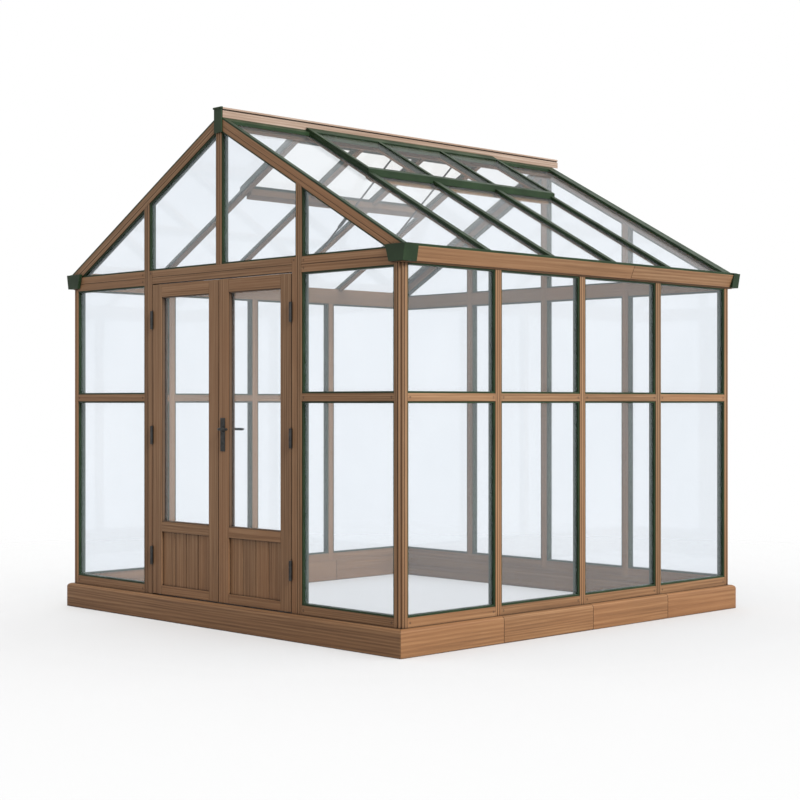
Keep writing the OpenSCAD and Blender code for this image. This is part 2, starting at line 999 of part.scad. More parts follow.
// door side of a hinge: the middle knuckle on a leaf let on to the door's edge
module door_hinge(z) {
    third = hinge_l / 3;
    x0 = door_gap / 2 + leaf_w;
    knuckle(z - third / 2, z + third / 2);
    box([x0, pin_y, z - third / 2], [pin_x - 1.2, -hd + 1, z + third / 2]);
    box([x0, -hd, z - hinge_l / 2], [pin_x - 1.2, -hd + 28, z + hinge_l / 2]);
}

module jamb_hinges() {
    color(iron)
        both_sides()
            for (z = hinge_zs)
                jamb_hinge(z);
}

module door_right_hinges() {
    color(iron)
        for (z = hinge_zs)
            door_hinge(z);
}

module door_left_hinges() {
    color(iron)
        mirror([1, 0, 0])
            door_right_hinges();
}

// lock plates on both faces of the right leaf
module handle_plates() {
    color(iron)
        for (y = [-hd - 4, -hd + leaf_t])
            difference() {
                box([lever_x - 20, y, handle_z - 126], [lever_x + 20, y + 4, handle_z + 63]);
                spindle_hole();
            }
}

// spindle with a lever outside and a lever inside
module lever_handle() {
    color(iron) {
        translate([lever_x, -hd - lever_out + 6, handle_z])
            rotate([-90, 0, 0])
                cylinder(h = leaf_t + 2 * lever_out - 12, r = 10);
        for (y = [-hd - lever_out, -hd + leaf_t + lever_out - 16])
            box([lever_x - 12, y, handle_z - 9], [lever_x + lever_l, y + 16, handle_z + 9]);
    }
}

plinth_ends();
plinth_sides();
corner_posts();
wall_posts();
door_posts();
door_liners();
front_rails();
door_head();
king_posts();
back_posts();
back_rails();
side_rails();
eaves_beams();
eaves_strips();
eaves_caps();
gable_rafters();
ridge_board();
ridge_cap();
ridge_flashing();
ridge_block();
roof_rafters();
glazing_bars();
vent_frames();
vent_glass();
vent_trimmers();
vent_stays();
beads_front();
beads_back();
beads_sides();
glass_front();
glass_back();
glass_sides();
glass_roof();
door_left_frame();
door_left_panel();
door_left_glass();
door_left_bead();
door_right_frame();
door_right_panel();
door_right_glass();
door_right_bead();
door_astragal();
jamb_hinges();
door_left_hinges();
door_right_hinges();
handle_plates();
lever_handle();
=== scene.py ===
"""Timber and glass greenhouse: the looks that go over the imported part.

Each sub-assembly of the house is a class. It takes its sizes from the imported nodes, shapes bevelled pieces with
bmesh, gives them a finish and lets them ride on their body. All lengths are in metres.
"""

import logging
import math
import random
from collections.abc import Iterable, Sequence
from dataclasses import dataclass
from enum import Enum

import bmesh
import bpy
from mathutils import Matrix, Vector


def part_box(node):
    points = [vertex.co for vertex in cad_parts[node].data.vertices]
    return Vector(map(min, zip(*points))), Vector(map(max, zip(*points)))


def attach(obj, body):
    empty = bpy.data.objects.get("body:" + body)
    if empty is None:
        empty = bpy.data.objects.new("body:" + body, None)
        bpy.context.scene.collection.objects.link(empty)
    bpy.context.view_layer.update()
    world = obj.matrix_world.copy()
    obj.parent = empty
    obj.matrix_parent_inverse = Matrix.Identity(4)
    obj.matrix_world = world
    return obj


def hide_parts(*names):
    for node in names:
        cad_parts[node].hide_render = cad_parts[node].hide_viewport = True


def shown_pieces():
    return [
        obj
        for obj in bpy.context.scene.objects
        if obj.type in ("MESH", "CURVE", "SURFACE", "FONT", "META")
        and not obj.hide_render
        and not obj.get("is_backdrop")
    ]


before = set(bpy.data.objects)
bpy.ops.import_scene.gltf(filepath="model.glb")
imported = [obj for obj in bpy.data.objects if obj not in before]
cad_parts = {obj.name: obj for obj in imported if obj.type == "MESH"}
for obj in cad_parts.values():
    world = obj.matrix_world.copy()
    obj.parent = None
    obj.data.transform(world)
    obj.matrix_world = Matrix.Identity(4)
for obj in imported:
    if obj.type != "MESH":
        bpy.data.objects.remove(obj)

LOG = logging.getLogger("greenhouse")
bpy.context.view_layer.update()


# ---------- named choices ----------


class Slot(Enum):
    """The material slots of the record."""

    CEDAR = "cedar"
    GREEN = "green_bar"
    GLASS = "clear_glass"
    IRON = "black_iron"


class Body(Enum):
    """The bodies that pieces ride on."""

    HOUSE = "house"
    DOOR_LEFT = "door_left"
    DOOR_RIGHT = "door_right"
    LEVER = "lever"


class Face(Enum):
    """The outer faces that screws are driven into, by their outward direction."""

    FRONT = (0.0, -1.0, 0.0)
    BACK = (0.0, 1.0, 0.0)
    RIGHT = (1.0, 0.0, 0.0)
    LEFT = (-1.0, 0.0, 0.0)

    @property
    def outward(self) -> Vector:
        """The outward direction as a vector."""
        return Vector(self.value)


class Hand(Enum):
    """Which leaf of the pair a door is."""

    LEFT = -1
    RIGHT = 1


# ---------- finishes ----------


class NodeBench:
    """A new material's node tree, with short calls for adding and wiring its nodes."""

    def __init__(self, name: str) -> None:
        """Starts an empty material.

        Args:
            name: the material's name.
        """
        self.material = bpy.data.materials.new(name)
        self.material.use_nodes = True
        self.tree = self.material.node_tree
        self.tree.nodes.clear()
        self.output = self.add("ShaderNodeOutputMaterial")

    def add(self, kind: str, inputs: dict | None = None, **settings: object) -> bpy.types.Node:
        """Adds one node.

        Args:
            kind: the node's Blender type.
            inputs: values or sockets for its inputs, by socket name or index.
            settings: properties of the node itself.

        Returns:
            The node.
        """
        node = self.tree.nodes.new(kind)
        for key, value in settings.items():
            setattr(node, key, value)
        for key, value in (inputs or {}).items():
            if isinstance(value, bpy.types.NodeSocket):
                self.tree.links.new(value, node.inputs[key])
            else:
                node.inputs[key].default_value = value
        return node

    def place(self, scale: tuple[float, float, float], attribute: str = "") -> bpy.types.NodeSocket:
        """Coordinates for a pattern.

        Args:
            scale: how much each axis is stretched.
            attribute: the mesh attribute to read, or nothing for Object coordinates.

        Returns:
            The vector socket.
        """
        if attribute:
            source = self.add("ShaderNodeAttribute", attribute_name=attribute).outputs["Vector"]
        else:
            source = self.add("ShaderNodeTexCoord").outputs["Object"]
        return self.add("ShaderNodeMapping", {"Vector": source, "Scale": scale}).outputs["Vector"]

    def noise(
        self, where: bpy.types.NodeSocket, scale: float, detail: float = 3.0, rough: float = 0.55
    ) -> bpy.types.NodeSocket:
        """Noise from 0 to 1.

        Args:
            where: the coordinates.
            scale: the noise's scale.
            detail: its octaves.
            rough: how strong the finer octaves are.

        Returns:
            The factor socket.
        """
        inputs = {"Vector": where, "Scale": scale, "Detail": detail, "Roughness": rough}
        return self.add("ShaderNodeTexNoise", inputs).outputs["Fac"]

    def span(
        self, value: bpy.types.NodeSocket, low: float, high: float, start: float = 0.0, end: float = 1.0
    ) -> bpy.types.NodeSocket:
        """Maps a value from start..end to low..high.

        Args:
            value: the socket to map.
            low: the result at start.
            high: the result at end.
            start: the value that gives low.
            end: the value that gives high.

        Returns:
            The mapped socket.
        """
        inputs = {"Value": value, "From Min": start, "From Max": end, "To Min": low, "To Max": high}
        return self.add("ShaderNodeMapRange", inputs).outputs["Result"]

    def work(self, operation: str, first: object, second: object) -> bpy.types.NodeSocket:
        """One sum on two values.

        Args:
            operation: the Math node's operation.
            first: a socket or a number.
            second: a socket or a number.

        Returns:
            The result socket.
        """
        return self.add("ShaderNodeMath", {0: first, 1: second}, operation=operation).outputs[0]

    def shades(
        self, value: bpy.types.NodeSocket, stops: Sequence[tuple[float, Sequence[float]]]
    ) -> bpy.types.NodeSocket:
        """A colour ramp.

        Args:
            value: where on the ramp each point lies.
            stops: places from 0 to 1 with their linear colours.

        Returns:
            The colour socket.
        """
        ramp = self.add("ShaderNodeValToRGB", {"Fac": value})
        while len(ramp.color_ramp.elements) < len(stops):
            ramp.color_ramp.elements.new(0.5)
        for element, (place, colour) in zip(ramp.color_ramp.elements, stops):
            element.position = place
            element.color = (*colour, 1.0)
        return ramp.outputs["Color"]

    def blend(self, amount: object, first: object, second: object, kind: str = "MIX") -> bpy.types.NodeSocket:
        """Mixes two colours.

        Args:
            amount: how much of the second, a socket or a number.
            first: a colour or its socket.
            second: a colour or its socket.
            kind: the Mix node's blend type.

        Returns:
            The colour socket.
        """
        node = self.add("ShaderNodeMix", data_type="RGBA", blend_type=kind)
        for index, value in ((0, amount), (6, first), (7, second)):
            if isinstance(value, bpy.types.NodeSocket):
                self.tree.links.new(value, node.inputs[index])
            elif index == 0:
                node.inputs[index].default_value = value
            else:
                node.inputs[index].default_value = (*value, 1.0)
        return node.outputs[2]

    def bump(self, height: bpy.types.NodeSocket, depth: float, strength: float = 1.0) -> bpy.types.NodeSocket:
        """A bumped normal.

        Args:
            height: the height pattern, 0 to 1.
            depth: how deep the pattern is, in metres.
            strength: how much of it shows.

        Returns:
            The normal socket.
        """
        inputs = {"Height": height, "Distance": depth, "Strength": strength}
        return self.add("ShaderNodeBump", inputs).outputs["Normal"]

    def close(self, surface: bpy.types.NodeSocket) -> bpy.types.Material:
        """Wires the surface to the output and returns the material."""
        self.tree.links.new(surface, self.output.inputs["Surface"])
        return self.material


@dataclass(frozen=True)
class Finish:
    """A finish with a name, kept once however many pieces wear it."""

    name: str
    slot: Slot

    def material(self) -> bpy.types.Material:
        """The finish's material, made on first use."""
        return bpy.data.materials.get(self.name) or self.mix()

    def mix(self) -> bpy.types.Material:
        """Makes the material."""
        raise NotImplementedError


@dataclass(frozen=True)
class CedarFinish(Finish):
    """Oiled red cedar whose grain runs along each board, with painted shade in the joints and crevices and a little
    darker near the ground.
    """

    heart: tuple[float, float, float] = (0.088, 0.043, 0.018)
    middle: tuple[float, float, float] = (0.142, 0.073, 0.033)
    sap: tuple[float, float, float] = (0.206, 0.116, 0.058)
    red: tuple[float, float, float] = (0.156, 0.068, 0.027)
    # painted shade: how far the ambient occlusion reaches, and how dark it makes the joints and crevices
    painted_shade_reach: float = 0.014
    painted_shade_darkest: float = 0.14
    # the colour that the wood is multiplied by at the ground, darker towards the bottom
    low_darkening: tuple[float, float, float] = (0.88, 0.78, 0.64)
    rough: float = 0.56
    gleam: float = 0.26

    def figure(self, bench: NodeBench) -> tuple[bpy.types.NodeSocket, bpy.types.NodeSocket]:
        """The wood's figure: broad streaks, fine lines and faint growth rings, all stretched along the board.

        Args:
            bench: the material's bench.

        Returns:
            The figure and its fine lines alone, both from 0 to 1.
        """
        streak = bench.noise(bench.place((0.8, 62.0, 62.0), "grain"), 1.0, 4.0, 0.6)
        fine = bench.noise(bench.place((5.0, 300.0, 300.0), "grain"), 1.0, 3.0, 0.65)
        rings = bench.add(
            "ShaderNodeTexWave",
            {
                "Vector": bench.place((0.35, 11.0, 11.0), "grain"),
                "Scale": 2.2,
                "Distortion": 9.0,
                "Detail": 2.0,
                "Detail Scale": 0.6,
            },
            wave_type="RINGS",
            rings_direction="X",
        ).outputs["Fac"]
        broad = bench.work("ADD", bench.work("MULTIPLY", streak, 0.52), bench.work("MULTIPLY", fine, 0.36))
        return bench.work("ADD", broad, bench.work("MULTIPLY", rings, 0.12)), fine

    def wear_and_painted_shade(self, bench: NodeBench, colour: bpy.types.NodeSocket) -> bpy.types.NodeSocket:
        """Paints shade into the joints between boards and other crevices, where ambient occlusion finds them, and
        darkens the colour a little near the ground.

        Args:
            bench: the material's bench.
            colour: the colour of clean wood.

        Returns:
            The colour with painted shade in its joints and crevices, darkened a little near the ground.
        """
        # painted shade: ambient occlusion darkens the wood's colour in joints and crevices
        joint = bench.add("ShaderNodeAmbientOcclusion", {"Distance": self.painted_shade_reach}, samples=6).outputs["AO"]
        joint = bench.span(joint, self.painted_shade_darkest, 1.0, 0.38, 0.90)
        height = bench.add("ShaderNodeSeparateXYZ", {0: bench.add("ShaderNodeTexCoord").outputs["Object"]}).outputs["Z"]
        # darker towards the bottom, by height above the ground
        low_darkening = bench.shades(height, ((0.0, self.low_darkening), (0.45, (0.97, 0.94, 0.90)), (0.9, (1.0, 1.0, 1.0))))
        painted_shade_grey = bench.add("ShaderNodeCombineColor", {0: joint, 1: joint, 2: joint}).outputs["Color"]
        return bench.blend(1.0, bench.blend(1.0, colour, painted_shade_grey, "MULTIPLY"), low_darkening, "MULTIPLY")

    def mix(self) -> bpy.types.Material:
        """Colour, roughness and relief from the figure."""
        bench = NodeBench(self.name)
        figure, fine = self.figure(bench)
        drift = bench.noise(bench.place((1.2, 4.0, 4.0), "grain"), 1.0, 2.0)
        colour = bench.shades(figure, ((0.34, self.heart), (0.50, self.middle), (0.66, self.sap)))
        tone = bench.add("ShaderNodeAttribute", attribute_name="tone").outputs["Fac"]
        warm = bench.span(bench.work("ADD", drift, bench.work("MULTIPLY", tone, 0.2)), 0.0, 0.4, 0.4, 0.8)
        colour = bench.blend(warm, colour, self.red)
        light = bench.span(tone, 0.90, 1.10, -1.0, 1.0)
        light = bench.add("ShaderNodeCombineColor", {0: light, 1: light, 2: light}).outputs["Color"]
        colour = bench.blend(1.0, colour, light, "MULTIPLY")
        shader = bench.add(
            "ShaderNodeBsdfPrincipled",
            {
                "Base Color": self.wear_and_painted_shade(bench, colour),
                "Roughness": bench.span(figure, self.rough + 0.10, self.rough - 0.06, 0.3, 0.7),
                "Normal": bench.bump(bench.work("ADD", fine, figure), 0.0005, 0.4),
                "Specular IOR Level": self.gleam,
            },
        )
        return bench.close(shader.outputs[0])


@dataclass(frozen=True)
class PowderCoat(Finish):
    """Coloured powder coat with a slight orange peel."""

    deep: tuple[float, float, float] = (0.0060, 0.0125, 0.0045)
    clear: tuple[float, float, float] = (0.0140, 0.0275, 0.0105)
    gloss: float = 0.42

    def mix(self) -> bpy.types.Material:
        """A cloudy coat colour, rougher where it is thin."""
        bench = NodeBench(self.name)
        cloud = bench.noise(bench.place((3.0, 3.0, 3.0)), 2.2, 4.0)
        peel = bench.noise(bench.place((1.0, 1.0, 1.0)), 900.0, 1.0)
        speck = bench.noise(bench.place((1.0, 1.0, 1.0)), 260.0, 3.0, 0.7)
        mixed = bench.work("ADD", bench.work("MULTIPLY", cloud, 0.7), bench.work("MULTIPLY", speck, 0.3))
        colour = bench.shades(mixed, ((0.32, self.deep), (0.68, self.clear)))
        shader = bench.add(
            "ShaderNodeBsdfPrincipled",
            {
                "Base Color": colour,
                "Roughness": bench.span(mixed, self.gloss + 0.1, self.gloss - 0.06, 0.3, 0.7),
                "Normal": bench.bump(peel, 0.0002, 0.25),
                "Specular IOR Level": 0.16,
            },
        )
        return bench.close(shader.outputs[0])


@dataclass(frozen=True)
class PaneFinish(Finish):
    """Float glass: faintly blue, with a thin film of dust and a mirror gloss that grows at a slant."""

    tint: tuple[float, float, float] = (0.978, 0.987, 1.0)
    dusty: tuple[float, float, float] = (0.970, 0.980, 0.994)
    film: tuple[float, float, float] = (0.80, 0.90, 0.95)
    veil: float = 0.060
    glare: float = 0.30

    def mix(self) -> bpy.types.Material:
        """A transparent body, a faint veil of dust and a gloss on top."""
        bench = NodeBench(self.name)
        smear = bench.noise(bench.place((1.0, 1.0, 1.0)), 1.4, 3.0, 0.5)
        body = bench.add(
            "ShaderNodeBsdfTransparent", {"Color": bench.shades(smear, ((0.35, self.dusty), (0.65, self.tint)))}
        )
        dust = bench.add("ShaderNodeBsdfDiffuse", {"Color": (*self.film, 1.0)})
        amount = bench.span(smear, self.veil * 1.12, self.veil * 0.88, 0.3, 0.7)
        base = bench.add("ShaderNodeMixShader", {0: amount, 1: body.outputs[0], 2: dust.outputs[0]})
        facing = bench.add("ShaderNodeLayerWeight", {"Blend": 0.5}).outputs["Facing"]
        share = bench.span(bench.work("POWER", facing, 5.0), 0.035, self.glare)
        gloss = bench.add(
            "ShaderNodeBsdfGlossy", {"Color": (1.0, 1.0, 1.0, 1.0), "Roughness": bench.span(smear, 0.04, 0.01)}
        )
        surface = bench.add("ShaderNodeMixShader", {0: share, 1: base.outputs[0], 2: gloss.outputs[0]})
        return bench.close(surface.outputs[0])


@dataclass(frozen=True)
class IronFinish(Finish):
    """Blackened metal, worn a little brighter in patches."""

    dark: tuple[float, float, float] = (0.010, 0.010, 0.009)
    wear_and_painted_shade: tuple[float, float, float] = (0.030, 0.029, 0.027)
    rough: float = 0.46

    def mix(self) -> bpy.types.Material:
        """A hammered skin with a patchy colour."""
        bench = NodeBench(self.name)
        patch = bench.noise(bench.place((1.0, 1.0, 1.0)), 38.0, 4.0, 0.6)
        pits = bench.noise(bench.place((1.0, 1.0, 1.0)), 620.0, 2.0)
        colour = bench.shades(patch, ((0.35, self.dark), (0.72, self.wear_and_painted_shade)))
        shader = bench.add(
            "ShaderNodeBsdfPrincipled",
            {
                "Base Color": colour,
                "Metallic": 0.55,
                "Roughness": bench.span(patch, self.rough + 0.12, self.rough - 0.08, 0.3, 0.7),
                "Normal": bench.bump(pits, 0.0003, 0.4),
            },
        )
        return bench.close(shader.outputs[0])


@dataclass(frozen=True)
class FloorFinish(Finish):
    """The studio's pale floor, which thins out into the white room far from the house."""

    pale: tuple[float, float, float] = (0.985, 0.985, 0.988)
    thin: float = 0.3
    solid_to: float = 2.6
    gone_at: float = 7.5

    def mix(self) -> bpy.types.Material:
        """Matt white with a trace of unevenness."""
        bench = NodeBench(self.name)
        cloud = bench.noise(bench.place((1.0, 1.0, 1.0)), 0.4, 3.0)
        darker = tuple(0.99 * c for c in self.pale)
        shader = bench.add(
            "ShaderNodeBsdfDiffuse", {"Color": bench.shades(cloud, ((0.3, darker), (0.7, self.pale)))}
        )
        place = bench.place((1.0, 1.0, 0.0))
        reach = bench.add("ShaderNodeVectorMath", {0: place}, operation="LENGTH").outputs["Value"]
        fade = bench.span(reach, self.thin, 1.0, self.solid_to, self.gone_at)
        clear = bench.add("ShaderNodeBsdfTransparent", {"Color": (1.0, 1.0, 1.0, 1.0)})
        both = bench.add("ShaderNodeMixShader", {0: fade, 1: shader.outputs[0], 2: clear.outputs[0]})
        return bench.close(both.outputs[0])


CEDAR = CedarFinish("oiled_cedar", Slot.CEDAR)
# A darker copy of the cedar for the door beads, with shade painted into its colour.
PAINTED_SHADE_BEAD_CEDAR = CedarFinish(
    "shaded_cedar_bead",
    Slot.GREEN,
    heart=(0.045, 0.025, 0.013),
    middle=(0.080, 0.046, 0.026),
    sap=(0.125, 0.077, 0.046),
    red=(0.085, 0.043, 0.022),
)
# A lighter copy of the cedar for the ridge cap: partly bleached wood, partly a painted highlight for the light that its
# top catches.
BLEACHED_AND_LIT_CEDAR = CedarFinish(
    "bleached_cedar",
    Slot.CEDAR,
    heart=(0.130, 0.080, 0.050),
    middle=(0.198, 0.133, 0.094),
    sap=(0.275, 0.205, 0.158),
    red=(0.198, 0.122, 0.080),
)
GREEN = PowderCoat("green_coat", Slot.GREEN)
# a black coat laid where a keyhole is: painted shade for the hole
KEYHOLE_SHADE = PowderCoat("painted_keyhole_shade", Slot.GREEN, deep=(0.005, 0.007, 0.005), clear=(0.012, 0.015, 0.012), gloss=0.6)
PANE = PaneFinish("pane_glass", Slot.GLASS)
VENT_PANE = PaneFinish(
    "vent_glass_clean", Slot.GLASS, tint=(0.988, 0.988, 0.985), dusty=(0.980, 0.980, 0.978), veil=0.012, glare=0.12
)
IRON = IronFinish("black_iron_skin", Slot.IRON)
SCREW = IronFinish("screw_steel", Slot.IRON, dark=(0.010, 0.004, 0.003), wear_and_painted_shade=(0.028, 0.011, 0.007), rough=0.6)
FLOOR = FloorFinish("studio_floor", Slot.CEDAR)


# ---------- shaping ----------


@dataclass
class Extent:
    """A box by its lowest and highest corners."""

    low: Vector
    high: Vector

    @classmethod
    def of_node(cls, node: str) -> "Extent":
        """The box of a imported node."""
        return cls(*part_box(node))

    @classmethod
    def of_points(cls, points: Iterable[Vector]) -> "Extent":
        """The box round some points."""
        found = list(points)
        low = Vector(min(p[i] for p in found) for i in range(3))
        high = Vector(max(p[i] for p in found) for i in range(3))
        return cls(low, high)

    @property
    def size(self) -> Vector:
        """Its three lengths."""
        return self.high - self.low

    @property
    def middle(self) -> Vector:
        """Its centre."""
        return (self.low + self.high) / 2


class Workpiece:
    """Solids that become one object."""

    def __init__(self, name: str) -> None:
        """Starts with nothing.

        Args:
            name: the object's name.
        """
        self.name = name
        self.bm = bmesh.new()

    @classmethod
    def copy_of(cls, name: str, *nodes: str) -> "Workpiece":
        """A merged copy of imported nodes, with its flat faces made whole.

        Args:
            name: the new object's name.
            nodes: the nodes to copy.

        Returns:
            The workpiece.
        """
        piece = cls(name)
        for node in nodes:
            piece.bm.from_mesh(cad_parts[node].data)
        bm = piece.bm
        for layer in list(bm.loops.layers.uv):
            bm.loops.layers.uv.remove(layer)
        bmesh.ops.remove_doubles(bm, verts=bm.verts, dist=0.00002)
        bmesh.ops.dissolve_limit(bm, angle_limit=math.radians(0.5), verts=bm.verts, edges=bm.edges)
        for face in bm.faces:
            face.material_index = 0
            face.smooth = False
        return piece

    def block(
        self, low: Sequence[float], high: Sequence[float], ease: float = 0.0, segments: int = 2
    ) -> list[bmesh.types.BMVert]:
        """Adds a square-edged or eased board.

        Args:
            low: its lowest corner.
            high: its highest corner.
            ease: the radius of its edges.
            segments: how many faces round each edge.

        Returns:
            Its vertices.
        """
        lo, hi = Vector(low), Vector(high)
        made = bmesh.ops.create_cube(self.bm, size=1.0)["verts"]
        bmesh.ops.scale(self.bm, vec=hi - lo, verts=made)
        bmesh.ops.translate(self.bm, vec=(lo + hi) / 2, verts=made)
        if ease > 0:
            edges = list({e for v in made for e in v.link_edges})
            done = bmesh.ops.bevel(
                self.bm, geom=edges, offset=ease, segments=segments, profile=0.5, affect="EDGES", material=-1
            )
            made = list({v for v in done["verts"]} | {v for f in done["faces"] for v in f.verts})
        return made

    def rod(
        self,
        start: Sequence[float],
        end: Sequence[float],
        radius: float,
        tip: float | None = None,
        sides: int = 24,
    ) -> list[bmesh.types.BMVert]:
        """Adds a closed round rod or cone.

        Args:
            start: the centre of its first end.
            end: the centre of its other end.
            radius: the radius at the start.
            tip: the radius at the end, if it tapers.
            sides: how many sides it has.

        Returns:
            Its vertices.
        """
        a, b = Vector(start), Vector(end)
        turn = (b - a).to_track_quat("Z", "Y").to_matrix().to_4x4()
        place = Matrix.Translation((a + b) / 2) @ turn
        made = bmesh.ops.create_cone(
            self.bm,
            cap_ends=True,
            segments=sides,
            radius1=radius,
            radius2=radius if tip is None else tip,
            depth=(b - a).length,
            matrix=place,
        )["verts"]
        for face in {f for v in made for f in v.link_faces}:
            face.smooth = len(face.verts) == 4
        return made

    def ease(self, width: float, segments: int = 2, sharpest: float = 25.0) -> "Workpiece":
        """Rounds every edge that turns by more than an angle.

        Args:
            width: how far the rounding reaches.
            segments: how many faces round each edge.
            sharpest: edges that turn less than this, in degrees, stay.

        Returns:
            The workpiece.
        """
        limit = math.radians(sharpest)
        edges = [e for e in self.bm.edges if e.is_manifold and e.calc_face_angle(0.0) > limit]
        bmesh.ops.bevel(
            self.bm,
            geom=edges,
            offset=width,
            segments=segments,
            profile=0.5,
            affect="EDGES",
            clamp_overlap=True,
            material=-1,
        )
        return self

    def cut(self, axis: int, places: Sequence[float], gap: float) -> "Workpiece":
        """Cuts the solids across into shorter ones with a fine gap between them.

        Args:
            axis: 0, 1 or 2 for cuts square to X, Y or Z.
            places: where the cuts go along that axis.
            gap: the width of the saw cut.

        Returns:
            The workpiece.
        """
        source = bpy.data.meshes.new("saw")
        self.bm.to_mesh(source)
        self.bm.clear()
        stops = [-1000.0, *sorted(places), 1000.0]
        normal = Vector((0.0, 0.0, 0.0))
        normal[axis] = 1.0
        for low, high in zip(stops, stops[1:]):
            part = bmesh.new()
            part.from_mesh(source)
            for place, side in ((low + gap / 2, -1.0), (high - gap / 2, 1.0)):
                geom = [*part.verts, *part.edges, *part.faces]
                if not part.verts:
                    continue
                made = bmesh.ops.bisect_plane(
                    part, geom=geom, plane_co=normal * place, plane_no=normal * side, clear_outer=True
                )["geom_cut"]
                edges = [g for g in made if isinstance(g, bmesh.types.BMEdge)]
                if edges:
                    bmesh.ops.holes_fill(part, edges=edges)
            kept = bpy.data.meshes.new("offcut")
            part.to_mesh(kept)
            part.free()
            self.bm.from_mesh(kept)
            bpy.data.meshes.remove(kept)
        bpy.data.meshes.remove(source)
        return self

    def islands(self) -> list[list[bmesh.types.BMVert]]:
        """The vertices of each separate solid."""
        seen: set[bmesh.types.BMVert] = set()
        groups = []
        for vert in self.bm.verts:
            if vert in seen:
                continue
            group, stack = [], [vert]
            seen.add(vert)
            while stack:
                here = stack.pop()
                group.append(here)
                for edge in here.link_edges:
                    other = edge.other_vert(here)
                    if other not in seen:
                        seen.add(other)
                        stack.append(other)
            groups.append(group)
        return groups

    def extents(self) -> list[Extent]:
        """The box of each separate solid."""
        return [Extent.of_points(v.co for v in group) for group in self.islands()]

    def lay_grain(self, upright: bool = False) -> None:
        """Writes where each point lies along and across its own board, and a tone for the whole board.

        Args:
            upright: True where the grain stands upright whatever the solid's shape.
        """
        dice = random.Random(self.name)
        slope = Vector((math.cos(PITCH), 0.0, -math.sin(PITCH)))
        other = Vector((-slope.x, 0.0, slope.z))
        runs = (Vector((1.0, 0.0, 0.0)), Vector((0.0, 1.0, 0.0)), Vector((0.0, 0.0, 1.0)), slope, other)
        along = self.bm.loops.layers.float_vector.new("grain")
        shade = self.bm.loops.layers.float.new("tone")
        for group in self.islands():
            points = [v.co for v in group]
            reach = [max(p.dot(r) for p in points) - min(p.dot(r) for p in points) for r in runs]
            run = runs[2] if upright else runs[reach.index(max(reach))]
            side = Vector((0.0, 1.0, 0.0)) if abs(run.y) < 0.5 else Vector((1.0, 0.0, 0.0))
            third = run.cross(side)
            shift = Vector((dice.uniform(0, 9), dice.uniform(0, 9), dice.uniform(0, 9)))
            tone = dice.uniform(-1.0, 1.0)
            for vert in group:
                spot = Vector((vert.co.dot(run), vert.co.dot(side), vert.co.dot(third))) + shift
                for loop in vert.link_loops:
                    loop[along] = spot
                    loop[shade] = tone

    def fit(self, body: Body, finish: Finish, *stands_for: str, upright: bool = False) -> bpy.types.Object:
        """Turns the solids into an object that rides on a body.

        Args:
            body: the body it moves with.
            finish: the finish it wears.
            stands_for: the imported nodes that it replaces.
            upright: True where the wood's grain stands upright whatever the solid's shape.

        Returns:
            The object.
        """
        if isinstance(finish, CedarFinish):
            self.lay_grain(upright)
        mesh = bpy.data.meshes.new(self.name)
        self.bm.to_mesh(mesh)
        self.bm.free()
        mesh.materials.append(finish.material())
        piece = bpy.data.objects.new(self.name, mesh)
        bpy.context.scene.collection.objects.link(piece)
        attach(piece, body.value)
        if stands_for:
            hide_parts(*stands_for)
        LOG.info("%s: %d faces on %s", self.name, len(mesh.polygons), body.value)
        return piece


def dress(node: str, finish: Finish) -> None:
    """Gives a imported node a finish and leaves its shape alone.

    Args:
        node: the node's name.
        finish: the finish.
    """
    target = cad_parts[node]
    if not target.material_slots:
        target.data.materials.append(finish.material())
    for slot in target.material_slots:
        slot.material = finish.material()
    LOG.info("%s: packed node in %s", node, finish.name)


def roof_pitch() -> float:
    """The roof's pitch in radians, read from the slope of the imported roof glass."""
    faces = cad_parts["glass_roof"].data.polygons
    slope = max(faces, key=lambda face: face.area).normal
    return math.atan2(abs(slope.x), abs(slope.z))


PITCH = roof_pitch()


@dataclass
class ScrewSet:
    """Countersunk screws on one body, all in one object."""

    name: str
    body: Body
    radius: float = 0.0066
    proud: float = 0.0006

    def __post_init__(self) -> None:
        """Starts with no screws."""
        self.piece = Workpiece(self.name)

    def drive(self, spot: Vector, outward: Vector) -> None:
        """Sets one screw: a low domed head with a pressed recess.

        Args:
            spot: the point on the surface.
            outward: the direction that the head looks in.
        """
        top = spot + outward * self.proud
        made = self.piece.rod(spot - outward * 0.002, top, self.radius, self.radius * 0.82, 12)
        crown = max((f for v in made for f in v.link_faces), key=lambda f: f.normal.dot(outward) * len(f.verts))
        bmesh.ops.inset_individual(self.piece.bm, faces=[crown], thickness=self.radius * 0.42, depth=-0.0008)

    def along_rail(self, rail: Extent, face: Face, inset: float = 0.017, tall: float = 0.07) -> None:
        """Sets the screws at both ends of a rail, one above the other on a tall rail.

        Args:
            rail: the rail's box.
            face: the side of the house that it is on.
            inset: how far from its end they stand.
            tall: rails higher than this get two at each end.
        """
        outward = face.outward
        run = 0 if abs(outward.y) > 0.5 else 1
        depth = 1 - run
        spot = rail.middle
        spot[depth] = rail.high[depth] if outward[depth] > 0 else rail.low[depth]
        heights = (0.27, 0.75) if rail.size.z > tall else (0.5,)
        for end in (rail.low[run] + inset, rail.high[run] - inset):
            for share in heights:
                spot[run] = end
                spot.z = rail.low.z + share * rail.size.z
                self.drive(spot.copy(), outward)

    def fit(self) -> None:
        """Turns the screws into an object."""
        self.piece.fit(self.body, SCREW)


# ---------- the house ----------


